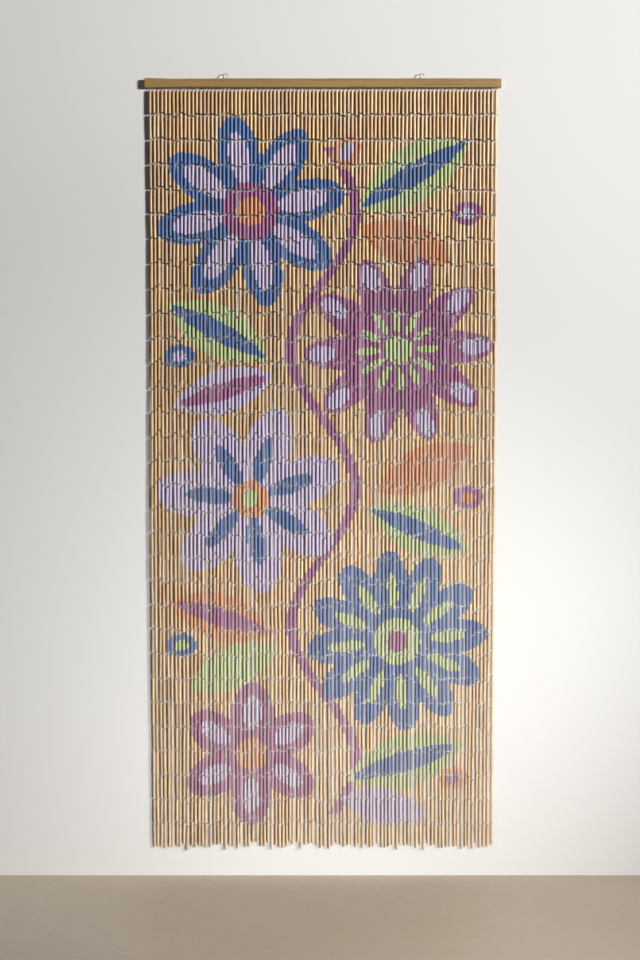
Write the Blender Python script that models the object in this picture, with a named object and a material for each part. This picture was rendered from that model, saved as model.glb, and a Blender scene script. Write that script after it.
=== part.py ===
"""Bead curtain: 90 strands of bamboo tubes under a wooden header bar that hangs by two wire eyes.

Frame: metres, +Z up, front towards -Y, +X to the right of someone who faces the curtain.
The origin is the middle of the bar's top face. The wall behind the bar is the plane y = HEADER_DEPTH / 2.
"""

import math
import random
from collections import namedtuple

import bmesh
import bpy

GAP = 0.0003  # between pieces that touch on the real curtain

HEADER_LENGTH = 0.923
HEADER_HEIGHT = 0.023
HEADER_DEPTH = 0.016
HEADER_CHAMFER = 0.0012

# The bar's edges are planed by hand: how far each one lies off a straight line, along the bar
Station = namedtuple("Station", "share top underside")
HEADER_STATIONS = (
    Station(share=0.00, top=0.0010, underside=-0.0003),
    Station(share=0.02, top=0.0008, underside=-0.0001),
    Station(share=0.08, top=-0.0006, underside=0.0000),
    Station(share=0.20, top=0.0000, underside=0.0000),
    Station(share=0.45, top=0.0000, underside=0.0000),
    Station(share=0.55, top=0.0000, underside=0.0000),
    Station(share=0.80, top=0.0003, underside=0.0000),
    Station(share=1.00, top=-0.0002, underside=0.0000),
)

# Wire eyes: arches whose legs go down into the bar
EYE_PLACES = {"eye_left": -0.2547, "eye_right": 0.2547}
EYE_RADIUS = 0.0076  # of the arch, to the middle of the wire
EYE_WIRE_RADIUS = 0.0009
EYE_SPRING = 0.0054  # height over the bar at which the legs turn into the arch
EYE_LEG_DEPTH = 0.0110
PILOT_OVERRUN = 0.0050  # of the pilots' cutters over the bar
EYE_STEPS = 16
WIRE_SIDES = 8

# Strands
STRAND_COUNT = 90
STRAND_PITCH = 0.01008
STRAND_WIDTH = 0.0066
STRAND_END = -2.012  # where the average strand ends
STRAND_SECTIONS = 7
ROOT_TOP = -HEADER_HEIGHT - GAP
ROOT_BOTTOM = -0.0300

# How the strands hang: seeded, so that the same curtain comes out each time
HANG_SEED = 41
END_SPREAD = 0.0045
END_LIMIT = 0.0110
SHORT_STRAND = 0.0110  # how much some strands fall short of their neighbours
SHORT_CHANCE = 0.08
FAN_SPREAD = 0.0017  # sideways, at the lower end
FAN_STEP = 0.0024  # the most that it differs between neighbours
WAVES_FULL = 0.25  # the share of the length from which the waves are at full width
SHARED_WAVE = 0.0013
SHARED_WAVE_TURNS = 1.1
SHARED_WAVE_STEP = 0.043
OWN_WAVE = 0.0003
OWN_WAVE_TURNS = 2
DEPTH_WAVE = 0.0010
Hang = namedtuple("Hang", "end fan phase")


def clamp(value, low, high):
    return max(low, min(high, value))


def hangs():
    """How each strand hangs, from the left: where it ends, its fan sideways and its wave's phase."""
    rng = random.Random(HANG_SEED)
    found = []
    fan = 0.0
    for _ in range(STRAND_COUNT):
        end = STRAND_END + clamp(rng.gauss(0.0, END_SPREAD), -END_LIMIT, END_LIMIT)
        if rng.random() < SHORT_CHANCE:
            end += SHORT_STRAND
        wanted = rng.uniform(-FAN_SPREAD, FAN_SPREAD)
        fan = clamp(wanted, fan - FAN_STEP, fan + FAN_STEP)
        found.append(Hang(end, fan, rng.uniform(0.0, math.tau)))
    return found


def strand_place(strand, hang, z):
    """The x and y of a strand's middle at a height."""
    share = (ROOT_BOTTOM - z) / (ROOT_BOTTOM - STRAND_END)
    grown = clamp(share / WAVES_FULL, 0.0, 1.0)
    shared = SHARED_WAVE * math.sin(math.tau * (SHARED_WAVE_TURNS * share + SHARED_WAVE_STEP * strand))
    own = OWN_WAVE * math.sin(math.tau * OWN_WAVE_TURNS * share + hang.phase)
    hook = (strand - (STRAND_COUNT - 1) / 2) * STRAND_PITCH
    x = hook + hang.fan * share + grown * (shared + own)
    y = grown * DEPTH_WAVE * math.sin(math.tau * share + 2 * hang.phase)
    return x, y


def material(name, colour, roughness, metallic=0.0):
    made = bpy.data.materials.new(name)
    made.use_nodes = True
    shader = made.node_tree.nodes["Principled BSDF"]
    shader.inputs["Base Color"].default_value = (*colour, 1.0)
    shader.inputs["Roughness"].default_value = roughness
    shader.inputs["Metallic"].default_value = metallic
    return made


def object_from(name, bm, finish):
    """Turns a bmesh into an object with its faces outwards and its rounded faces smooth."""
    bmesh.ops.recalc_face_normals(bm, faces=bm.faces)
    mesh = bpy.data.meshes.new(name)
    bm.to_mesh(mesh)
    bm.free()
    mesh.shade_smooth()
    mesh.set_sharp_from_angle(angle=math.radians(40))
    mesh.materials.append(finish)
    made = bpy.data.objects.new(name, mesh)
    bpy.context.scene.collection.objects.link(made)
    return made


def loft(bm, rings):
    """Joins rings of points into a rod with a flat cap at each end."""
    loops = [[bm.verts.new(point) for point in ring] for ring in rings]
    for loop, following in zip(loops, loops[1:]):
        for i in range(len(loop)):
            j = (i + 1) % len(loop)
            bm.faces.new((loop[i], loop[j], following[j], following[i]))
    bm.faces.new(loops[0])
    bm.faces.new(loops[-1])
    return loops


def pilot(bar, name, x, finish):
    """Cuts a pilot hole into the bar's top, on its middle line."""
    bm = bmesh.new()
    radius = EYE_WIRE_RADIUS + GAP
    angles = [math.tau * (k + 0.5) / WIRE_SIDES for k in range(WIRE_SIDES)]
    rings = []
    for z in (-EYE_LEG_DEPTH - GAP, PILOT_OVERRUN):
        rings.append([(radius * math.cos(a), radius * math.sin(a), z) for a in angles])
    loft(bm, rings)
    cutter = object_from(name, bm, finish)
    cutter.location = (x, 0.0, 0.0)
    cutter.hide_render = True
    cutter.display_type = "WIRE"
    boolean = bar.modifiers.new(name, "BOOLEAN")
    boolean.operation = "DIFFERENCE"
    boolean.solver = "EXACT"
    boolean.object = cutter


def header():
    """The wooden bar, with chamfered edges and a pilot hole for each leg of the wire eyes."""
    back = HEADER_DEPTH / 2
    inner = back - HEADER_CHAMFER
    rings = []
    for station in HEADER_STATIONS:
        x = (station.share - 0.5) * HEADER_LENGTH
        top = station.top
        under = station.underside - HEADER_HEIGHT
        upper = top - HEADER_CHAMFER
        lower = under + HEADER_CHAMFER
        profile = ((inner, top), (-inner, top), (-back, upper), (-back, lower))
        profile += ((-inner, under), (inner, under), (back, lower), (back, upper))
        rings.append([(x, y, z) for y, z in profile])
    bm = bmesh.new()
    loft(bm, rings)
    finish = material("header_wood", (0.36, 0.22, 0.085), 0.55)
    bar = object_from("header", bm, finish)
    for name, x in EYE_PLACES.items():
        for side in (-1, 1):
            pilot(bar, f"{name}_pilot_{side}", x + side * EYE_RADIUS, finish)


def wire_eye(name, x, finish):
    """A wire arch that faces the front, with both legs in the bar."""
    bends = [(math.pi * (1 - step / EYE_STEPS), EYE_SPRING) for step in range(EYE_STEPS + 1)]
    stations = [(math.pi, -EYE_LEG_DEPTH), *bends, (0.0, -EYE_LEG_DEPTH)]
    rings = []
    for around, height in stations:
        ring = []
        for side in range(WIRE_SIDES):
            across = math.tau * (side + 0.5) / WIRE_SIDES
            radius = EYE_RADIUS + EYE_WIRE_RADIUS * math.cos(across)
            y = EYE_WIRE_RADIUS * math.sin(across)
            ring.append((radius * math.cos(around), y, height + radius * math.sin(around)))
        rings.append(ring)
    bm = bmesh.new()
    loft(bm, rings)
    eye = object_from(name, bm, finish)
    eye.location = (x, 0.0, 0.0)


def strand_ring(x, y, z):
    """A strand's four corners at a height: front left, front right, back right, back left."""
    half = STRAND_WIDTH / 2
    corners = ((-half, -half), (half, -half), (half, half), (-half, half))
    return [(x + dx, y + dy, z) for dx, dy in corners]


def strands():
    """All strands as one comb: square rods whose roots are fused into a narrow strip under the bar."""
    bm = bmesh.new()
    before = None
    for strand, hang in enumerate(hangs()):
        rings = [strand_ring(*strand_place(strand, hang, ROOT_BOTTOM), ROOT_TOP)]
        for k in range(STRAND_SECTIONS + 1):
            z = ROOT_BOTTOM + (hang.end - ROOT_BOTTOM) * k / STRAND_SECTIONS
            rings.append(strand_ring(*strand_place(strand, hang, z), z))
        here = loft(bm, rings)[:2]
        if before:
            join_roots(bm, before, here)
        before = here
    object_from("strands", bm, material("bamboo", (0.62, 0.42, 0.20), 0.6))


def join_roots(bm, left, right):
    """Opens the facing sides of two neighbouring roots and bridges them, so that the strip runs on."""
    left_root, left_neck = left
    right_root, right_neck = right
    near = (left_root[1], left_root[2], left_neck[2], left_neck[1])
    far = (right_root[0], right_root[3], right_neck[3], right_neck[0])
    for side in (near, far):
        bm.faces.remove(next(f for f in side[0].link_faces if set(f.verts) == set(side)))
    for i in range(4):
        j = (i + 1) % 4
        bm.faces.new((near[i], near[j], far[j], far[i]))


def main():
    for old in list(bpy.data.objects):
        bpy.data.objects.remove(old)
    header()
    steel = material("eye_steel", (0.62, 0.60, 0.57), 0.35, metallic=1.0)
    for name, x in EYE_PLACES.items():
        wire_eye(name, x, steel)
    strands()


main()
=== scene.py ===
"""Looks of the bead curtain: bamboo tubes, wire links, painted flowers, the wooden bar and its wire eyes.

Metres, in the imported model's frame: +Z up, front towards -Y, the origin in the middle of the bar's top face.
"""

import math
import random
from collections import namedtuple

import bmesh
import bpy
import numpy as np
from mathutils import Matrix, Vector

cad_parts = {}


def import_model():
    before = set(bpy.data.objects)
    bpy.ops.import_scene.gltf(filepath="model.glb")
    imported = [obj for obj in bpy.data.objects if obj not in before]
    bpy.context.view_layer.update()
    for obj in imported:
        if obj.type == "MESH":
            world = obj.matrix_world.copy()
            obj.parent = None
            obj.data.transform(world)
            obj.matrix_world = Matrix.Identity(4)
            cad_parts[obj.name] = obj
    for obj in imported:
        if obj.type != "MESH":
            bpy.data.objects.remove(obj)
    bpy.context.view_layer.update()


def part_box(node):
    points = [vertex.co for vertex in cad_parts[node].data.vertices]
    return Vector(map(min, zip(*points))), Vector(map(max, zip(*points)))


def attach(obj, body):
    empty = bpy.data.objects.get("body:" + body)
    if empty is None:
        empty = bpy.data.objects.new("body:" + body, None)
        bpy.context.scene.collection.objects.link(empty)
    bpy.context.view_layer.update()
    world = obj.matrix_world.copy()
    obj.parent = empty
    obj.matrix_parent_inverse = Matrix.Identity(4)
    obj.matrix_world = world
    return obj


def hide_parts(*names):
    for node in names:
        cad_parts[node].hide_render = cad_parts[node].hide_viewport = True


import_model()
wall_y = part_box("header")[1].y
UP = np.array((0.0, 0.0, 1.0))

# The bar, as in the part's source but with rounder corners
HEADER_LENGTH = 0.923
HEADER_HEIGHT = 0.023
HEADER_DEPTH = 0.016
Station = namedtuple("Station", "share top underside")
HEADER_STATIONS = (
    Station(share=0.00, top=0.0010, underside=-0.0003),
    Station(share=0.02, top=0.0008, underside=-0.0001),
    Station(share=0.08, top=-0.0006, underside=0.0000),
    Station(share=0.20, top=0.0000, underside=0.0000),
    Station(share=0.45, top=0.0000, underside=0.0000),
    Station(share=0.55, top=0.0000, underside=0.0000),
    Station(share=0.80, top=0.0003, underside=0.0000),
    Station(share=1.00, top=-0.0002, underside=0.0000),
)
BAR_STEPS = 92
BAR_CORNER = 0.0016
BAR_CORNER_STEPS = 3
BAR_END_ROUNDING = 0.0006
BAR_WOBBLE = 0.00012
BAR_WOBBLE_FAST = 61  # radians along the bar
BAR_WOBBLE_SLOW = 23
BAR_SHARP = 35  # degrees: sharper edges stay sharp

# How the strands hang, as in the part's source
STRAND_COUNT = 90
STRAND_PITCH = 0.01008
STRAND_END = -2.012
ROOT_BOTTOM = -0.0300
HANG_SEED = 41
END_SPREAD = 0.0045
END_LIMIT = 0.0110
SHORT_STRAND = 0.0110
SHORT_CHANCE = 0.08
FAN_SPREAD = 0.0017
FAN_STEP = 0.0024
WAVES_FULL = 0.25
SHARED_WAVE = 0.0013
SHARED_WAVE_TURNS = 1.1
SHARED_WAVE_STEP = 0.043
OWN_WAVE = 0.0003
OWN_WAVE_TURNS = 2
DEPTH_WAVE = 0.0010
Hang = namedtuple("Hang", "end fan phase")

# Wire: hooks in the bar, and two loops through each other between one bead and the next
WIRE_RADIUS = 0.00033
LOOP_RADIUS = 0.00092  # to the middle of the wire
LOOP_STEPS = 9
WIRE_SIDES = 4
LINK_HALF = LOOP_RADIUS - WIRE_RADIUS  # from a link's middle to the middle of each loop
LINK_REACH = LINK_HALF + LOOP_RADIUS + WIRE_RADIUS  # from there to the bead
BEAD_GAP = 2 * LINK_REACH
STEM_DEPTH = 0.0030  # of the wire's stem in a bead's hole
HOOK_DROP = 0.0048  # of a hook's lowest point under the bar, to the middle of the wire
HOOK_LEG = 0.0030  # of its legs in the bar
HOOK_STEPS = 6

# Beads
BEAD_ROWS = 31
BEAD_SIDES = 10
BEAD_LENGTH = 0.060  # on average
BEAD_LENGTH_SPREAD = 0.0024
BEAD_RADIUS_TOP = 0.0038  # in the upmost row
BEAD_RADIUS_END = 0.0030  # in the lowest row
BEAD_RADIUS_SPREAD = 0.00020
BEAD_RADIUS_LIMIT = 0.00040  # the most by which a bead differs from its row
BEAD_EDGE = 0.00035  # rounding of its ends
BEAD_HOLE = 0.42  # the hole's radius, as a share of the bead's
BEAD_OVAL = 0.03
BEAD_TAPER = 0.02
BEAD_BOW = 0.0003
BEAD_LEAN = 0.0004
BEAD_SHARP = 40  # degrees: sharper edges stay sharp
HOOK_LEAN = 0.3  # the share of its lean that a bead has at the hooks
STRAND_SPACE = 0.0014  # the least between two average beads side by side
SPACING_ROUNDS = 12  # of pushing neighbours apart
STRANDS_A_PIECE = 10
LOOKS_SEED = 7

# The bake's layout: a cell for each bead or link, and what fills it, as shares of the cell
CELL_MARGIN = 0.08
HALF_CELL = 0.42  # height of what fills a cell's lower or upper half
LOOP_CELL_WIDTH = 0.6
STEM_CELL_LEFT = 0.65
STEM_CELL_WIDTH = 0.3

# Colours of the beads, linear
STRAW = (0.81, 0.555, 0.290)
UMBER = (0.56, 0.34, 0.15)
TONE_POWER = 1.4  # above 1, so that more beads are near straw than near umber
TONE_LIMIT = 1.2  # the most umber, a little past the tint itself
SHADED_LEFT = 0.9  # painted shade: how much browner the bamboo is, for each metre to the left, standing in for the shade on the side away from the key lamp
SHADED_TOP = 0.5  # painted shade: and how much browner in the upmost row than in the lowest, standing in for the darker light at the top
LIGHT_SPREAD = 0.06  # of the beads' lightness, round 1
LIGHT_LIMITS = (0.85, 1.13)
PAINT_LIGHT = 0.5  # the share of a bead's lightness that shows through its paint
# Painted light: the lower rows are paled towards this tint, standing in for the brighter light on them
LIT_PALE_TINT = (0.88, 0.74, 0.56)
BAMBOO_LIT_PALER = 0.45  # painted light: how far the lowest row's bamboo is paled towards that tint
PAINT_LIT_PALER = 0.22  # and its paint, also painted light
CUT_END = (0.66, 0.46, 0.25)
# Painted shade: the dark inside of each bead's narrow hole
HOLE_SHADE = (0.22, 0.12, 0.05)
WORN_PAINT = (0.58, 0.40, 0.22)  # the bamboo that shows where the paint has worn off
BOUNCE_TINT = (0.35, 0.21, 0.10)  # darkens the bamboo for diffuse rays alone, for deep brown gaps
BARE, LAVENDER, COBALT, PLUM, LIME, ORANGE = range(6)
PAINT = {
    LAVENDER: (0.56, 0.48, 0.71),
    COBALT: (0.075, 0.165, 0.420),
    PLUM: (0.375, 0.125, 0.300),
    LIME: (0.500, 0.600, 0.280),
    ORANGE: (0.700, 0.310, 0.155),
}

# Colours of the bar, the wire and the stage, linear
WOOD_PALE = (0.400, 0.258, 0.100)
WOOD_DEEP = (0.335, 0.205, 0.076)
WOOD_LINE = (0.245, 0.140, 0.050)
WOOD_END = (0.500, 0.235, 0.085)  # redder, at the bar's ends
WOOD_PORE = (0.160, 0.085, 0.030)
REDDER_FROM = 0.440  # from the bar's middle
REDDER_TO = 0.462
EYE_STEEL = (0.45, 0.44, 0.42)
LINK_STEEL = (0.40, 0.39, 0.37)
TARNISH = 0.62  # how light the tarnish is, as a share of the wire
WALL_PAINT = (0.80, 0.80, 0.79)
SCREED_DARK = (0.58, 0.48, 0.37)
SCREED_PALE = (0.68, 0.58, 0.47)
SCREED_SPECK = (0.48, 0.39, 0.29)

# The painted design: five blooms on a winding stem, with leaves and buds
PAINT_STEP = 0.002
PAINT_SHIFT = 0.0012  # how far a strand has slipped since it was painted
PAINT_MARGIN = 0.0010  # nearer than this to a bead's end, a change of paint gets no ring of its own
Bloom = namedtuple("Bloom", "x z reach turn layers")
Layer = namedtuple("Layer", "count distance length width colour")
Leaf = namedtuple("Leaf", "x z length width turn colour rib")
BLOOMS = (
    Bloom(-0.190, -0.340, 0.250, 0.20, (
        Layer(8, 0.56, 0.44, 0.215, COBALT),
        Layer(8, 0.56, 0.27, 0.110, LAVENDER),
        Layer(1, 0.00, 0.30, 0.300, PLUM),
        Layer(1, 0.00, 0.15, 0.150, ORANGE),
    )),
    Bloom(0.195, -0.700, 0.250, 0.05, (
        Layer(10, 0.56, 0.44, 0.175, PLUM),
        Layer(10, 0.80, 0.15, 0.085, LAVENDER),
        Layer(1, 0.00, 0.46, 0.460, PLUM),
        Layer(12, 0.31, 0.13, 0.040, LIME),
        Layer(1, 0.00, 0.15, 0.150, LIME),
    )),
    Bloom(-0.190, -1.090, 0.248, 0.35, (
        Layer(7, 0.55, 0.45, 0.250, LAVENDER),
        Layer(7, 0.44, 0.25, 0.085, COBALT),
        Layer(1, 0.00, 0.20, 0.200, ORANGE),
        Layer(1, 0.00, 0.09, 0.090, LIME),
    )),
    Bloom(0.195, -1.465, 0.240, 0.10, (
        Layer(12, 0.66, 0.34, 0.180, COBALT),
        Layer(1, 0.00, 0.72, 0.720, COBALT),
        Layer(12, 0.56, 0.20, 0.062, LIME),
        Layer(1, 0.00, 0.26, 0.260, LIME),
        Layer(1, 0.00, 0.12, 0.120, PLUM),
    )),
    Bloom(-0.190, -1.765, 0.190, 0.50, (
        Layer(6, 0.55, 0.45, 0.280, PLUM),
        Layer(6, 0.58, 0.24, 0.120, LAVENDER),
        Layer(1, 0.00, 0.22, 0.220, ORANGE),
    )),
)
LEAVES = (
    Leaf(0.235, -0.245, 0.170, 0.072, 0.55, LIME, COBALT),
    Leaf(0.215, -0.425, 0.130, 0.056, -0.35, ORANGE, None),
    Leaf(-0.275, -0.650, 0.150, 0.066, -0.50, LIME, COBALT),
    Leaf(-0.260, -0.805, 0.140, 0.058, 0.30, LAVENDER, PLUM),
    Leaf(0.265, -1.010, 0.140, 0.058, 0.45, ORANGE, None),
    Leaf(0.250, -1.170, 0.145, 0.062, -0.40, LIME, COBALT),
    Leaf(-0.270, -1.400, 0.145, 0.062, -0.30, ORANGE, PLUM),
    Leaf(-0.240, -1.535, 0.130, 0.054, 0.45, LIME, None),
    Leaf(0.215, -1.785, 0.165, 0.070, 0.30, LIME, COBALT),
    Leaf(0.160, -1.905, 0.120, 0.048, -0.20, LAVENDER, None),
)
BUDS = (
    Leaf(0.060, -0.185, 0.048, 0.034, 1.20, ORANGE, LAVENDER),
    Leaf(0.375, -0.345, 0.040, 0.030, 0.20, PLUM, LAVENDER),
    Leaf(-0.375, -0.715, 0.040, 0.030, 0.10, COBALT, LAVENDER),
    Leaf(0.380, -1.085, 0.040, 0.030, 0.10, PLUM, ORANGE),
    Leaf(-0.375, -1.475, 0.040, 0.030, 0.10, COBALT, LIME),
    Leaf(0.345, -1.830, 0.040, 0.030, 0.10, ORANGE, PLUM),
)
STEM_TOP = -0.175
STEM_BOTTOM = -1.925
STEM_SWING = 0.085
STEM_HALF_WAVE = 0.360
STEM_HALF_WIDTH = 0.014
STEM_COLOUR = PLUM
RIB_WIDTH = 0.38  # the width of a leaf's rib, as a share of the leaf's
RIB_REACH = 0.8  # how far it goes to each side, as a share of the leaf's length
BUD_CORE = 0.5  # the size of a bud's core, as a share of the bud's
CANVAS_OVERRUN = 0.040  # of the painted length past the average strand's end

# Wire eyes: arches whose legs go down into the bar, as in the part's source but rounder
EYE_PLACES = {"eye_left": -0.2547, "eye_right": 0.2547}
EYE_RADIUS = 0.0076
EYE_WIRE_RADIUS = 0.0009
EYE_SPRING = 0.0054
EYE_LEG_DEPTH = 0.0110
EYE_STEPS = 32
EYE_SIDES = 12
EYE_SHARP = 50  # degrees: sharper edges stay sharp

# Stage
FLOOR_Z = -2.094
STAGE_HALF_WIDTH = 5.0
WALL_TOP = 3.0
FLOOR_FRONT = -6.0
CAMERA_PLACE = (-0.00775, -3.844, -0.861)
CAMERA_PITCH = math.radians(-2.67)
CAMERA_LENS = 55.0
CAMERA_SENSOR = 36.0
ROOM_COLOUR = (0.93, 0.96, 1.0, 1.0)
ROOM_LIGHT = 0.05  # how strongly the room lights the stage
ROOM_SEEN = 0.75  # and how bright it is where the camera sees it
KEY_COLOUR = (1.0, 0.99, 0.975)
LAMP_COLOUR = (1.0, 0.995, 0.985)
Lamp = namedtuple("Lamp", "name place target width height power colour spread")
LAMPS = (
    Lamp("key", (4.6, -3.7, 0.6), (-0.5, 0.0, 0.2), 0.9, 0.9, 57.5, KEY_COLOUR, 63.0),
    Lamp("side_front", (0.6, -2.0, -1.4), (0.9, 0.0, -1.4), 0.3, 0.3, 2.4, LAMP_COLOUR, 80.0),
    Lamp("low_front", (1.1, -2.7, -1.4), (-0.2, 0.0, -1.82), 0.4, 0.3, 5.0, LAMP_COLOUR, 53.0),
)


def clamp(value, low, high):
    return max(low, min(high, value))


def hangs():
    """How each strand hangs, from the left: where it ends, its fan sideways and its wave's phase."""
    rng = random.Random(HANG_SEED)
    found = []
    fan = 0.0
    for _ in range(STRAND_COUNT):
        end = STRAND_END + clamp(rng.gauss(0.0, END_SPREAD), -END_LIMIT, END_LIMIT)
        if rng.random() < SHORT_CHANCE:
            end += SHORT_STRAND
        wanted = rng.uniform(-FAN_SPREAD, FAN_SPREAD)
        fan = clamp(wanted, fan - FAN_STEP, fan + FAN_STEP)
        found.append(Hang(end, fan, rng.uniform(0.0, math.tau)))
    return found


def strand_place(strand, hang, z):
    """The x and y of a strand's middle at a height."""
    share = (ROOT_BOTTOM - z) / (ROOT_BOTTOM - STRAND_END)
    grown = clamp(share / WAVES_FULL, 0.0, 1.0)
    shared = SHARED_WAVE * math.sin(math.tau * (SHARED_WAVE_TURNS * share + SHARED_WAVE_STEP * strand))
    own = OWN_WAVE * math.sin(math.tau * OWN_WAVE_TURNS * share + hang.phase)
    hook = hook_x(strand)
    x = hook + hang.fan * share + grown * (shared + own)
    y = grown * DEPTH_WAVE * math.sin(math.tau * share + 2 * hang.phase)
    return x, y


def hook_x(strand):
    return (strand - (STRAND_COUNT - 1) / 2) * STRAND_PITCH


# Mesh making

class Pile:
    """Gathers many small tubes, to become the mesh of one piece."""

    def __init__(self):
        self.points = []
        self.faces = []
        self.uvs = []
        self.colours = []
        self.size = 0

    def loft(self, rings, cell, along=None, colours=None, closed=False):
        """Joins rings of points into a tube. cell is its box in the bake's layout: u, v, width, height.

        along gives each ring's place along the cell, and colours gives one colour a band.
        """
        count, sides = rings.shape[:2]
        bands = count if closed else count - 1
        band, side = np.meshgrid(np.arange(bands), np.arange(sides), indexing="ij")
        after = (band + 1) % count
        beside = (side + 1) % sides
        corners = ((band, side), (band, beside), (after, beside), (after, side))
        quads = np.stack([b * sides + s for b, s in corners], axis=-1).reshape(-1, 4)
        self.faces.append(quads + self.size)
        self.points.append(rings.reshape(-1, 3))
        self.size += count * sides
        if along is None:
            along = np.linspace(0.0, 1.0, bands + 1)
        left, low, width, height = cell
        u = left + width * np.stack([along[band], along[band], along[band + 1], along[band + 1]], axis=-1)
        v = low + height * np.stack([side, side + 1, side + 1, side], axis=-1) / sides
        self.uvs.append(np.stack([u, v], axis=-1).reshape(-1, 2))
        if colours is not None:
            self.colours.append(np.repeat(colours, sides * 4, axis=0))

    def piece(self, name, finish, smooth_to=None):
        """The pile as one object. Edges sharper than smooth_to stay sharp."""
        mesh = bpy.data.meshes.new(name)
        mesh.from_pydata(np.concatenate(self.points).tolist(), [], np.concatenate(self.faces).tolist())
        layout = mesh.uv_layers.new(name="OFBake")
        layout.uv.foreach_set("vector", np.concatenate(self.uvs).astype(np.float32).ravel())
        if self.colours:
            colours = mesh.attributes.new("finish", "FLOAT_COLOR", "CORNER")
            colours.data.foreach_set("color", np.concatenate(self.colours).astype(np.float32).ravel())
        return finished(name, mesh, finish, smooth_to)


def finished(name, mesh, finish, smooth_to=None):
    mesh.shade_smooth()
    if smooth_to is not None:
        mesh.set_sharp_from_angle(angle=math.radians(smooth_to))
    mesh.materials.append(finish)
    made = bpy.data.objects.new(name, mesh)
    bpy.context.scene.collection.objects.link(made)
    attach(made, "root")
    return made


def unit(vector):
    return vector / np.linalg.norm(vector)


def across(direction):
    """Two directions that are square to this one and to each other."""
    first = unit(np.array((1.0, 0.0, 0.0)) - direction[0] * direction)
    return first, np.cross(direction, first)


def circle(sides, direction, turn=0.0):
    """The points of a unit circle round a direction."""
    first, second = across(direction)
    angles = turn + math.tau * np.arange(sides) / sides
    return np.cos(angles)[:, None] * first + np.sin(angles)[:, None] * second


def rod_rings(start, end, radius, sides):
    direction = unit(end - start)
    around = radius * circle(sides, direction)
    return np.stack([start + around, end + around])


def swept_rings(path, radius, sides):
    """Rings along a path that lies in a plane of constant y."""
    rings = []
    for place, ahead in zip(path, np.gradient(path, axis=0)):
        direction = unit(ahead)
        first = np.array((0.0, 1.0, 0.0))
        second = np.cross(direction, first)
        angles = math.tau * np.arange(sides) / sides
        ring = np.cos(angles)[:, None] * first + np.sin(angles)[:, None] * second
        rings.append(place + radius * ring)
    return np.stack(rings)


def loop_rings(centre, turn):
    """A closed wire loop that stands upright, turned about the vertical."""
    outwards = np.array((math.cos(turn), math.sin(turn), 0.0))
    rings = []
    for step in range(LOOP_STEPS):
        around = math.tau * step / LOOP_STEPS
        radial = math.cos(around) * outwards + math.sin(around) * UP
        ahead = -math.sin(around) * outwards + math.cos(around) * UP
        sideways = np.cross(ahead, radial)
        angles = math.tau * np.arange(WIRE_SIDES) / WIRE_SIDES
        ring = np.cos(angles)[:, None] * radial + np.sin(angles)[:, None] * sideways
        rings.append(centre + LOOP_RADIUS * radial + WIRE_RADIUS * ring)
    return np.stack(rings)


# The painted design

def turned(x, z, turn):
    """Distances along and across a direction that is turned up from the x axis."""
    return x * math.cos(turn) + z * math.sin(turn), z * math.cos(turn) - x * math.sin(turn)


def in_petal(x, z, petal_x, petal_z, length, width, turn):
    """Whether places lie inside an ellipse with these half axes."""
    along, aside = turned(x - petal_x, z - petal_z, turn)
    return (along / length) ** 2 + (aside / width) ** 2 < 1.0


def in_leaf(x, z, leaf, share=1.0):
    """Whether places lie inside a pointed leaf, narrowed to a share of its width."""
    along, aside = turned(x - leaf.x, z - leaf.z, leaf.turn)
    return np.abs(aside) < leaf.width * share * (1.0 - (along / leaf.length) ** 2)


def paint_stem(canvas, x, z):
    """One winding stripe that swings away from the blooms on either side."""
    middle = STEM_SWING * np.cos(math.pi * (z - BLOOMS[0].z) / STEM_HALF_WAVE)
    canvas[(np.abs(x - middle) < STEM_HALF_WIDTH) & (z < STEM_TOP) & (z > STEM_BOTTOM)] = STEM_COLOUR


def paint_leaves(canvas, x, z):
    for leaf in LEAVES:
        canvas[in_leaf(x, z, leaf)] = leaf.colour
        if leaf.rib is not None:
            in_reach = np.abs(x - leaf.x) < RIB_REACH * leaf.length
            canvas[in_leaf(x, z, leaf, RIB_WIDTH) & in_reach] = leaf.rib
    for bud in BUDS:
        for size, colour in ((1.0, bud.colour), (BUD_CORE, bud.rib)):
            length = size * bud.length
            width = size * bud.width
            canvas[in_petal(x, z, bud.x, bud.z, length, width, bud.turn)] = colour


def paint_blooms(canvas, x, z):
    for bloom in BLOOMS:
        for layer in bloom.layers:
            for k in range(layer.count):
                angle = bloom.turn + math.tau * k / layer.count
                petal_x = bloom.x + bloom.reach * layer.distance * math.cos(angle)
                petal_z = bloom.z + bloom.reach * layer.distance * math.sin(angle)
                length = bloom.reach * layer.length
                width = bloom.reach * layer.width
                canvas[in_petal(x, z, petal_x, petal_z, length, width, angle)] = layer.colour


def painted_strands(rng):
    """For each strand, the heights where its colour changes, going down, and the colours from there on."""
    z = np.arange(ROOT_BOTTOM, STRAND_END - CANVAS_OVERRUN, -PAINT_STEP)
    x = np.array([hook_x(strand) for strand in range(STRAND_COUNT)])
    canvas = np.zeros((STRAND_COUNT, len(z)), int)
    grid_x, grid_z = np.meshgrid(x, z, indexing="ij")
    for paint in (paint_stem, paint_leaves, paint_blooms):
        paint(canvas, grid_x, grid_z)
    found = []
    for row in canvas:
        slip = rng.gauss(0.0, PAINT_SHIFT)
        starts = np.flatnonzero(np.diff(row)) + 1
        heights = [z[0] + 1.0] + [z[k] + slip for k in starts]
        colours = [row[0]] + [row[k] for k in starts]
        found.append((np.array(heights), colours))
    return found


# Beads and links

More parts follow.
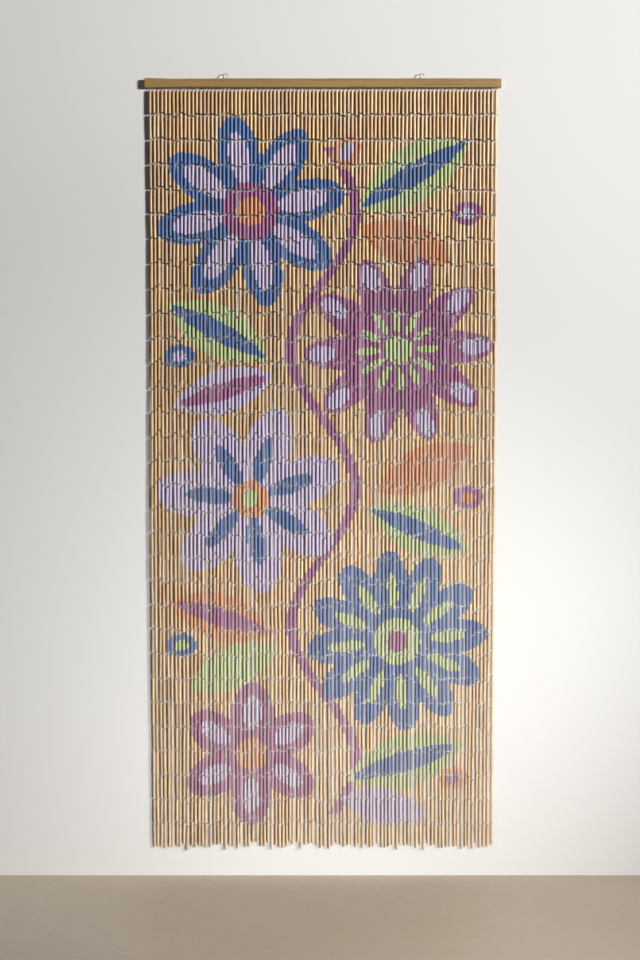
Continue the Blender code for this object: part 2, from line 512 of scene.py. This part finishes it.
def joint_places(all_hangs, rng):
    """Upper and lower ends of all beads as one array: strand, row, end, xyz."""
    ends = np.zeros((STRAND_COUNT, BEAD_ROWS, 2, 3))
    top = -HEADER_HEIGHT - HOOK_DROP + WIRE_RADIUS - 2 * LOOP_RADIUS
    for strand, hang in enumerate(all_hangs):
        lengths = np.array([rng.gauss(1.0, BEAD_LENGTH_SPREAD / BEAD_LENGTH) for _ in range(BEAD_ROWS)])
        lengths *= (top - hang.end - BEAD_GAP * (BEAD_ROWS - 1)) / lengths.sum()
        z = top
        for row, length in enumerate(lengths):
            for end, height in enumerate((z, z - length)):
                x, y = strand_place(strand, hang, height)
                ends[strand, row, end] = x, y, height
            z -= length + BEAD_GAP
    leans = np.array([rng.gauss(0.0, BEAD_LEAN) for _ in range(STRAND_COUNT * BEAD_ROWS * 4)])
    leans = np.clip(leans, -2 * BEAD_LEAN, 2 * BEAD_LEAN).reshape(STRAND_COUNT, BEAD_ROWS, 2, 2)
    leans[:, 0, 0] *= HOOK_LEAN
    ends[..., :2] += leans
    return pushed_apart(ends)


def row_radius(height):
    """The radius of an average bead that starts at a height: they get thinner towards the lower end."""
    down = np.clip(height / STRAND_END, 0.0, 1.0)
    return BEAD_RADIUS_TOP + (BEAD_RADIUS_END - BEAD_RADIUS_TOP) * down


def pushed_apart(ends):
    """Moves neighbours sideways, a little in each round, until no two beads run into each other."""
    radii = row_radius(ends[..., 2])
    least = radii[:-1] + radii[1:] + STRAND_SPACE
    for _ in range(SPACING_ROUNDS):
        lack = np.clip(least - np.diff(ends[..., 0], axis=0), 0.0, None) / 2
        ends[:-1, ..., 0] -= lack
        ends[1:, ..., 0] += lack
    return ends


def bead_colours(strand_paint, breaks, x, down, rng):
    """One colour for each stretch of a bead's side between two breaks. Alpha is 1 where it is painted."""
    heights, colours = strand_paint
    # Painted shade: browner towards the left and the top, where the light is weaker
    painted_shade = SHADED_TOP * (0.5 - down) - SHADED_LEFT * x
    tone = clamp(rng.random() ** TONE_POWER + painted_shade, 0.0, TONE_LIMIT)
    bare = [u * tone + s * (1 - tone) for s, u in zip(STRAW, UMBER)]
    light = clamp(rng.gauss(1.0, LIGHT_SPREAD), *LIGHT_LIMITS)
    found = []
    for upper, lower in zip(breaks, breaks[1:]):
        middle = (upper + lower) / 2
        colour = colours[np.flatnonzero(heights >= middle)[-1]]
        if colour == BARE:
            base, paling, shade = bare, BAMBOO_LIT_PALER, light
        else:
            base, paling, shade = PAINT[colour], PAINT_LIT_PALER, 1 - PAINT_LIGHT + PAINT_LIGHT * light
        # Painted light: paler towards the lowest row
        share = paling * down ** 2
        paled = [b * (1 - share) + f * share for b, f in zip(base, LIT_PALE_TINT)]
        found.append([c * shade for c in paled] + [float(colour != BARE)])
    return found


def add_bead(pile, upper, lower, strand_paint, cell, rng):
    """One bamboo tube with rounded ends, its hole right through, and a ring at each change of its paint."""
    down = clamp(upper[2] / STRAND_END, 0.0, 1.0)
    radius = row_radius(upper[2])
    radius += clamp(rng.gauss(0.0, BEAD_RADIUS_SPREAD), -BEAD_RADIUS_LIMIT, BEAD_RADIUS_LIMIT)
    taper = rng.uniform(-BEAD_TAPER, BEAD_TAPER)
    heights = strand_paint[0]
    inside = heights[(heights < upper[2] - PAINT_MARGIN) & (heights > lower[2] + PAINT_MARGIN)]
    breaks = [upper[2] - BEAD_EDGE, *inside, lower[2] + BEAD_EDGE]
    sides = bead_colours(strand_paint, breaks, upper[0], down, rng)
    if len(inside) == 0:
        breaks.insert(1, (breaks[0] + breaks[1]) / 2)
        sides = sides * 2
    shares = [(upper[2] - z) / (upper[2] - lower[2]) for z in breaks]
    shares = np.array([0.0, 0.0, *shares, 1.0, 1.0])
    hole = radius * BEAD_HOLE
    rim = radius - BEAD_EDGE
    radii = np.array([hole, rim] + [radius] * len(breaks) + [rim, hole])
    radii = radii * (1.0 + taper * (shares - 0.5))
    first, second = across(unit(lower - upper))
    bow_turn = rng.uniform(0.0, math.tau)
    bow = BEAD_BOW * rng.random() * (math.cos(bow_turn) * first + math.sin(bow_turn) * second)
    middles = upper + shares[:, None] * (lower - upper) + (4 * shares * (1 - shares))[:, None] * bow
    angles = math.tau * np.arange(BEAD_SIDES) / BEAD_SIDES
    oval = 1.0 + BEAD_OVAL * rng.random() * np.cos(2 * angles + bow_turn)
    around = oval[:, None] * (np.cos(angles)[:, None] * first + np.sin(angles)[:, None] * second)
    rings = middles[:, None, :] + radii[:, None, None] * around
    end = [*CUT_END, 0.0]
    # The hole's wall gets the painted shade of the hole
    colours = np.array([end, sides[0], *sides, sides[-1], end, [*HOLE_SHADE, 0.0]])
    along = np.concatenate([[0.0, 0.04], 0.06 + 0.84 * shares[2:-2], [0.92, 0.96, 1.0]])
    pile.loft(rings, cell, along=along, colours=colours, closed=True)


def add_stem(pile, loop_end, bead_end, bead_axis, cell):
    """The straight wire from a loop into the hole of its bead."""
    inside = bead_end + STEM_DEPTH * bead_axis
    pile.loft(rod_rings(loop_end, inside, WIRE_RADIUS, WIRE_SIDES), cell)


def add_link(pile, above, below, axis_above, axis_below, cell, rng):
    """Two loops through each other, with their stems. Above or below is None at an end of the strand."""
    left, low, width, height = cell
    turn = rng.uniform(0.0, math.pi)
    middle = link_middle(above, below)
    halves = ((above, axis_above, 1.0, turn, 0.0), (below, axis_below, -1.0, turn + math.pi / 2, 0.5))
    for bead_end, axis, side, loop_turn, share in halves:
        if bead_end is None:
            continue
        centre = middle + side * LINK_HALF * UP
        start = centre + side * LOOP_RADIUS * UP
        foot = low + share * height
        loop_cell = (left, foot, LOOP_CELL_WIDTH * width, HALF_CELL * height)
        stem_cell = (left + STEM_CELL_LEFT * width, foot, STEM_CELL_WIDTH * width, HALF_CELL * height)
        pile.loft(loop_rings(centre, loop_turn), loop_cell, closed=True)
        add_stem(pile, start, bead_end, axis, stem_cell)


def link_middle(above, below):
    """The middle of a link between two bead ends, of which one may be None."""
    if below is None:
        return above - LINK_REACH * UP
    if above is None:
        return below + LINK_REACH * UP
    return (above + below) / 2


def add_hook(pile, x, cell):
    """A staple in the bar's underside, on which the strand's first loop hangs."""
    lowest = -HEADER_HEIGHT - HOOK_DROP
    centre_z = lowest + LOOP_RADIUS
    path = [(x - LOOP_RADIUS, 0.0, -HEADER_HEIGHT + HOOK_LEG)]
    for step in range(HOOK_STEPS + 1):
        angle = math.pi * (1.0 + step / HOOK_STEPS)
        path.append((x + LOOP_RADIUS * math.cos(angle), 0.0, centre_z + LOOP_RADIUS * math.sin(angle)))
    path.append((x + LOOP_RADIUS, 0.0, -HEADER_HEIGHT + HOOK_LEG))
    path = np.array(path)
    pile.loft(swept_rings(path, WIRE_RADIUS, WIRE_SIDES), cell)


def bead_cell(strand, row):
    """A bead's or link's box in the bake's layout of its piece."""
    column = strand % STRANDS_A_PIECE
    width = 1.0 / STRANDS_A_PIECE
    height = 1.0 / (BEAD_ROWS + 1)
    return column * width, (row + CELL_MARGIN) * height, width, (1 - 2 * CELL_MARGIN) * height


def strand_pieces(bamboo, wire):
    """All beads and links, ten strands a piece."""
    rng = random.Random(LOOKS_SEED)
    all_hangs = hangs()
    ends = joint_places(all_hangs, rng)
    paints = painted_strands(rng)
    for first in range(0, STRAND_COUNT, STRANDS_A_PIECE):
        beads = Pile()
        links = Pile()
        for strand in range(first, first + STRANDS_A_PIECE):
            for row in range(BEAD_ROWS):
                upper, lower = ends[strand, row]
                add_bead(beads, upper, lower, paints[strand], bead_cell(strand, row), rng)
            add_links(links, strand, ends[strand], rng)
        number = first // STRANDS_A_PIECE + 1
        bead_piece = beads.piece(f"beads_{number:02d}", bamboo, BEAD_SHARP)
        link_piece = links.piece(f"links_{number:02d}", wire)
        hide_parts("strands")
        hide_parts("strands")


def add_links(pile, strand, ends, rng):
    """A strand's hook, the links between its beads, and the loop under its last bead."""
    axes = [unit(lower - upper) for upper, lower in ends]
    add_link(pile, None, ends[0][0], None, axes[0], bead_cell(strand, 0), rng)
    for row in range(1, BEAD_ROWS):
        above = ends[row - 1][1]
        below = ends[row][0]
        add_link(pile, above, below, -axes[row - 1], axes[row], bead_cell(strand, row), rng)
    add_link(pile, ends[-1][1], None, -axes[-1], None, bead_cell(strand, BEAD_ROWS), rng)
    left, low, width, height = bead_cell(strand, 0)
    add_hook(pile, hook_x(strand), (left, low, width, HALF_CELL * height))


# The bar and its eyes

def header_piece(wood):
    """The wooden bar with rounded edges, planed a little unevenly."""
    shares = [station.share for station in HEADER_STATIONS]
    rings = []
    for step in range(BAR_STEPS + 1):
        share = step / BAR_STEPS
        fast = math.sin(BAR_WOBBLE_FAST * share)
        slow = math.sin(BAR_WOBBLE_SLOW * share + 1.0)
        wobble = BAR_WOBBLE * (fast + slow)
        high = np.interp(share, shares, [station.top for station in HEADER_STATIONS]) + wobble
        low = np.interp(share, shares, [station.underside for station in HEADER_STATIONS]) - wobble / 2
        low -= HEADER_HEIGHT
        shrink = BAR_END_ROUNDING if step in (0, BAR_STEPS) else 0.0
        back = HEADER_DEPTH / 2 - shrink
        x = (share - 0.5) * HEADER_LENGTH
        rings.append([(x, y, z) for y, z in rounded_box(-back, back, low + shrink, high - shrink)])
    made = finished("bar", rod_mesh("bar", rings), wood, BAR_SHARP)
    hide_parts("header")


def rod_mesh(name, rings):
    """Joins rings of points into a rod with a flat cap at each end."""
    bm = bmesh.new()
    loops = [[bm.verts.new(point) for point in ring] for ring in rings]
    for loop, following in zip(loops, loops[1:]):
        for i in range(len(loop)):
            j = (i + 1) % len(loop)
            bm.faces.new((loop[i], loop[j], following[j], following[i]))
    bm.faces.new(loops[0])
    bm.faces.new(loops[-1])
    bmesh.ops.recalc_face_normals(bm, faces=bm.faces)
    mesh = bpy.data.meshes.new(name)
    bm.to_mesh(mesh)
    bm.free()
    return mesh


def rounded_box(y_low, y_high, z_low, z_high):
    """The outline of a rectangle with rounded corners, in the plane of y and z."""
    right = y_high - BAR_CORNER
    left = y_low + BAR_CORNER
    upper = z_high - BAR_CORNER
    lower = z_low + BAR_CORNER
    points = []
    for quarter, (y, z) in enumerate(((right, upper), (left, upper), (left, lower), (right, lower))):
        for step in range(BAR_CORNER_STEPS + 1):
            angle = math.pi / 2 * (quarter + step / BAR_CORNER_STEPS)
            points.append((y + BAR_CORNER * math.cos(angle), z + BAR_CORNER * math.sin(angle)))
    return points


def eye_piece(name, x, steel):
    """A wire eye: up from the bar, over in an arch and down into the bar again."""
    bends = [(angle, EYE_SPRING) for angle in np.linspace(math.pi, 0.0, EYE_STEPS + 1)]
    heights = (-EYE_LEG_DEPTH, 0.0)
    stations = [(math.pi, z) for z in heights] + bends + [(0.0, z) for z in reversed(heights)]
    path = np.array([(x + EYE_RADIUS * math.cos(a), 0.0, z + EYE_RADIUS * math.sin(a)) for a, z in stations])
    rings = swept_rings(path, EYE_WIRE_RADIUS, EYE_SIDES)
    piece = f"{name}_wire"
    made = finished(piece, rod_mesh(piece, rings), steel, EYE_SHARP)
    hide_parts(name)


# Materials

class Nodes:
    """Builds a material's node tree in few words."""

    def __init__(self, name):
        self.material = bpy.data.materials.new(name)
        self.material.use_nodes = True
        self.tree = self.material.node_tree
        self.shader = self.tree.nodes["Principled BSDF"]

    def add(self, kind, **settings):
        node = self.tree.nodes.new(kind)
        for key, value in settings.items():
            setattr(node, key, value)
        return node

    def link(self, output, socket):
        self.tree.links.new(output, socket)

    def noise(self, stretch, detail=3.0, roughness=0.55):
        """Noise in the object's own space, with cells of 1 / stretch metres."""
        place = self.add("ShaderNodeTexCoord")
        mapping = self.add("ShaderNodeMapping")
        mapping.inputs["Scale"].default_value = stretch
        texture = self.add("ShaderNodeTexNoise")
        texture.inputs["Scale"].default_value = 1.0
        texture.inputs["Detail"].default_value = detail
        texture.inputs["Roughness"].default_value = roughness
        self.link(place.outputs["Object"], mapping.inputs["Vector"])
        self.link(mapping.outputs["Vector"], texture.inputs["Vector"])
        return texture.outputs["Fac"]

    def ranged(self, value, low, high, start=0.3, end=0.7):
        """Spreads a value from start-end to low-high."""
        node = self.add("ShaderNodeMapRange")
        node.inputs["From Min"].default_value = start
        node.inputs["From Max"].default_value = end
        node.inputs["To Min"].default_value = low
        node.inputs["To Max"].default_value = high
        self.link(value, node.inputs["Value"])
        return node.outputs["Result"]

    def mixed(self, share, first, second, blend="MIX"):
        """Mixes two colours, each an output or a fixed colour. Sockets 6, 7 and 2 are the colour ones."""
        node = self.add("ShaderNodeMix", data_type="RGBA", blend_type=blend)
        self.put(share, node.inputs["Factor"])
        self.put(first, node.inputs[6])
        self.put(second, node.inputs[7])
        return node.outputs[2]

    def math(self, operation, first, second):
        node = self.add("ShaderNodeMath", operation=operation)
        self.put(first, node.inputs[0])
        self.put(second, node.inputs[1])
        return node.outputs[0]

    def put(self, value, socket):
        """Feeds a socket with an output, a colour or a number."""
        if isinstance(value, bpy.types.NodeSocket):
            self.link(value, socket)
        elif isinstance(value, tuple):
            socket.default_value = (*value, 1.0)
        else:
            socket.default_value = value

    def bump(self, height, strength, distance):
        node = self.add("ShaderNodeBump")
        node.inputs["Strength"].default_value = strength
        node.inputs["Distance"].default_value = distance
        self.link(height, node.inputs["Height"])
        self.link(node.outputs["Normal"], self.shader.inputs["Normal"])


def bamboo_material():
    """Split-fibre bamboo in the colours that the mesh carries, with matt paint where alpha is 1."""
    nodes = Nodes("bamboo_beads")
    carried = nodes.add("ShaderNodeAttribute", attribute_name="finish")
    colour = carried.outputs["Color"]
    painted = carried.outputs["Alpha"]
    fibre = nodes.noise((1500.0, 1500.0, 24.0), detail=4.0)
    blotch = nodes.noise((70.0, 70.0, 45.0), detail=2.0)
    grain = nodes.ranged(fibre, 0.80, 1.14)
    cloud = nodes.ranged(blotch, 0.90, 1.08)
    shade = nodes.math("MULTIPLY", grain, cloud)
    strength = nodes.ranged(painted, 1.0, 0.38, 0.0, 1.0)
    shaded = nodes.mixed(strength, (1.0, 1.0, 1.0), shade)
    tinted = nodes.mixed(1.0, colour, shaded, "MULTIPLY")
    wear = nodes.noise((900.0, 900.0, 90.0), detail=5.0, roughness=0.7)
    worn = nodes.math("MULTIPLY", nodes.ranged(wear, 0.0, 0.55, 0.66, 0.74), painted)
    direct = nodes.mixed(worn, tinted, WORN_PAINT)
    ray = nodes.add("ShaderNodeLightPath")
    bounced = nodes.mixed(1.0, direct, BOUNCE_TINT, "MULTIPLY")
    base = nodes.mixed(ray.outputs["Is Diffuse Ray"], direct, bounced)
    nodes.link(base, nodes.shader.inputs["Base Color"])
    sheen = nodes.ranged(painted, 0.38, 0.54, 0.0, 1.0)
    rough = nodes.math("ADD", sheen, nodes.ranged(fibre, -0.05, 0.07))
    nodes.link(rough, nodes.shader.inputs["Roughness"])
    nodes.put(0.72, nodes.shader.inputs["Specular IOR Level"])
    nodes.bump(fibre, 0.25, 0.0002)
    return nodes.material


def wire_material(name, colour, low, high):
    """Bright wire with a little tarnish."""
    nodes = Nodes(name)
    tarnish = nodes.noise((420.0, 420.0, 420.0), detail=3.0)
    dull = tuple(TARNISH * c for c in colour)
    tarnished = nodes.mixed(nodes.ranged(tarnish, 0.0, 1.0, 0.45, 0.7), colour, dull)
    nodes.link(tarnished, nodes.shader.inputs["Base Color"])
    nodes.link(nodes.ranged(tarnish, low, high), nodes.shader.inputs["Roughness"])
    nodes.put(1.0, nodes.shader.inputs["Metallic"])
    return nodes.material


def wood_material():
    """Straight-grained wood under satin varnish, a little redder at the bar's ends."""
    nodes = Nodes("bar_wood")
    grain = nodes.noise((5.0, 260.0, 330.0), detail=5.0)
    figure = nodes.noise((2.2, 55.0, 70.0), detail=2.0)
    pores = nodes.noise((40.0, 1700.0, 1700.0), detail=2.0)
    pale = nodes.mixed(nodes.ranged(figure, 0.0, 1.0, 0.38, 0.62), WOOD_PALE, WOOD_DEEP)
    lined = nodes.mixed(nodes.ranged(grain, 0.0, 0.75, 0.50, 0.70), pale, WOOD_LINE)
    place = nodes.add("ShaderNodeTexCoord")
    split = nodes.add("ShaderNodeSeparateXYZ")
    nodes.link(place.outputs["Object"], split.inputs["Vector"])
    outer = nodes.math("ABSOLUTE", split.outputs["X"], 0.0)
    ends = nodes.ranged(outer, 0.0, 0.55, REDDER_FROM, REDDER_TO)
    redder = nodes.mixed(ends, lined, WOOD_END)
    pored = nodes.mixed(nodes.ranged(pores, 0.0, 0.5, 0.62, 0.72), redder, WOOD_PORE)
    nodes.link(pored, nodes.shader.inputs["Base Color"])
    nodes.link(nodes.ranged(grain, 0.40, 0.55), nodes.shader.inputs["Roughness"])
    nodes.bump(grain, 0.2, 0.0003)
    return nodes.material


def plaster_material():
    """Matt wall paint, seen only from the front, so that the curtain's back shows from behind the wall."""
    nodes = Nodes("wall_paint")
    rough = nodes.noise((60.0, 60.0, 60.0), detail=4.0)
    nodes.put(WALL_PAINT, nodes.shader.inputs["Base Color"])
    nodes.put(0.9, nodes.shader.inputs["Roughness"])
    nodes.bump(rough, 0.12, 0.002)
    geometry = nodes.add("ShaderNodeNewGeometry")
    clear = nodes.add("ShaderNodeBsdfTransparent")
    choice = nodes.add("ShaderNodeMixShader")
    output = nodes.tree.nodes["Material Output"]
    nodes.link(geometry.outputs["Backfacing"], choice.inputs[0])
    nodes.link(nodes.shader.outputs[0], choice.inputs[1])
    nodes.link(clear.outputs[0], choice.inputs[2])
    nodes.link(choice.outputs[0], output.inputs["Surface"])
    return nodes.material


def floor_material():
    """Smooth pale screed."""
    nodes = Nodes("screed")
    cloud = nodes.noise((1.6, 1.6, 1.6), detail=6.0)
    speck = nodes.noise((55.0, 55.0, 55.0), detail=4.0)
    base = nodes.mixed(nodes.ranged(cloud, 0.0, 1.0), SCREED_DARK, SCREED_PALE)
    specked = nodes.mixed(nodes.ranged(speck, 0.0, 0.25), base, SCREED_SPECK)
    nodes.link(specked, nodes.shader.inputs["Base Color"])
    nodes.link(nodes.ranged(cloud, 0.42, 0.6), nodes.shader.inputs["Roughness"])
    return nodes.material


# Stage, lights and camera

def plane(name, corners, finish):
    mesh = bpy.data.meshes.new(name)
    mesh.from_pydata(corners, [], [(0, 1, 2, 3)])
    mesh.materials.append(finish)
    made = bpy.data.objects.new(name, mesh)
    bpy.context.scene.collection.objects.link(made)


def stage():
    """A wall right behind the bar and a floor below the curtain."""
    left = -STAGE_HALF_WIDTH
    right = STAGE_HALF_WIDTH
    foot_left = (left, wall_y, FLOOR_Z)
    foot_right = (right, wall_y, FLOOR_Z)
    head_left = (left, wall_y, WALL_TOP)
    head_right = (right, wall_y, WALL_TOP)
    front_left = (left, FLOOR_FRONT, FLOOR_Z)
    front_right = (right, FLOOR_FRONT, FLOOR_Z)
    plane("wall", (foot_left, foot_right, head_right, head_left), plaster_material())
    plane("floor", (front_left, front_right, foot_right, foot_left), floor_material())


def area_light(lamp):
    """A rectangular lamp that shines from its place to its target and isn't seen itself."""
    data = bpy.data.lights.new(lamp.name, "AREA")
    data.shape = "RECTANGLE"
    data.size = lamp.width
    data.size_y = lamp.height
    data.energy = lamp.power
    data.color = lamp.colour
    data.spread = math.radians(lamp.spread)
    made = bpy.data.objects.new(lamp.name, data)
    bpy.context.scene.collection.objects.link(made)
    made.location = lamp.place
    ahead = Vector(lamp.target) - Vector(lamp.place)
    made.rotation_euler = ahead.to_track_quat("-Z", "Y").to_euler()
    made.visible_camera = False


def world():
    """Weak light all round, and a pale room where the camera sees past the stage."""
    made = bpy.data.worlds.new("room")
    made.use_nodes = True
    tree = made.node_tree
    background = tree.nodes["Background"]
    background.inputs["Color"].default_value = ROOM_COLOUR
    seen = tree.nodes.new("ShaderNodeLightPath")
    strength = tree.nodes.new("ShaderNodeMapRange")
    strength.inputs["To Min"].default_value = ROOM_LIGHT
    strength.inputs["To Max"].default_value = ROOM_SEEN
    tree.links.new(seen.outputs["Is Camera Ray"], strength.inputs["Value"])
    tree.links.new(strength.outputs["Result"], background.inputs["Strength"])
    bpy.context.scene.world = made


def camera():
    data = bpy.data.cameras.new("camera")
    data.lens = CAMERA_LENS
    data.sensor_width = CAMERA_SENSOR
    made = bpy.data.objects.new("camera", data)
    bpy.context.scene.collection.objects.link(made)
    made.location = CAMERA_PLACE
    made.rotation_euler = (math.pi / 2 + CAMERA_PITCH, 0.0, 0.0)
    bpy.context.scene.camera = made


def main():
    bpy.context.scene.view_settings.view_transform = "Standard"
    camera()
    stage()
    for lamp in LAMPS:
        area_light(lamp)
    world()
    steel = wire_material("eye_steel", EYE_STEEL, 0.22, 0.40)
    header_piece(wood_material())
    for name, x in EYE_PLACES.items():
        eye_piece(name, x, steel)
    strand_pieces(bamboo_material(), wire_material("link_wire", LINK_STEEL, 0.28, 0.45))


main()
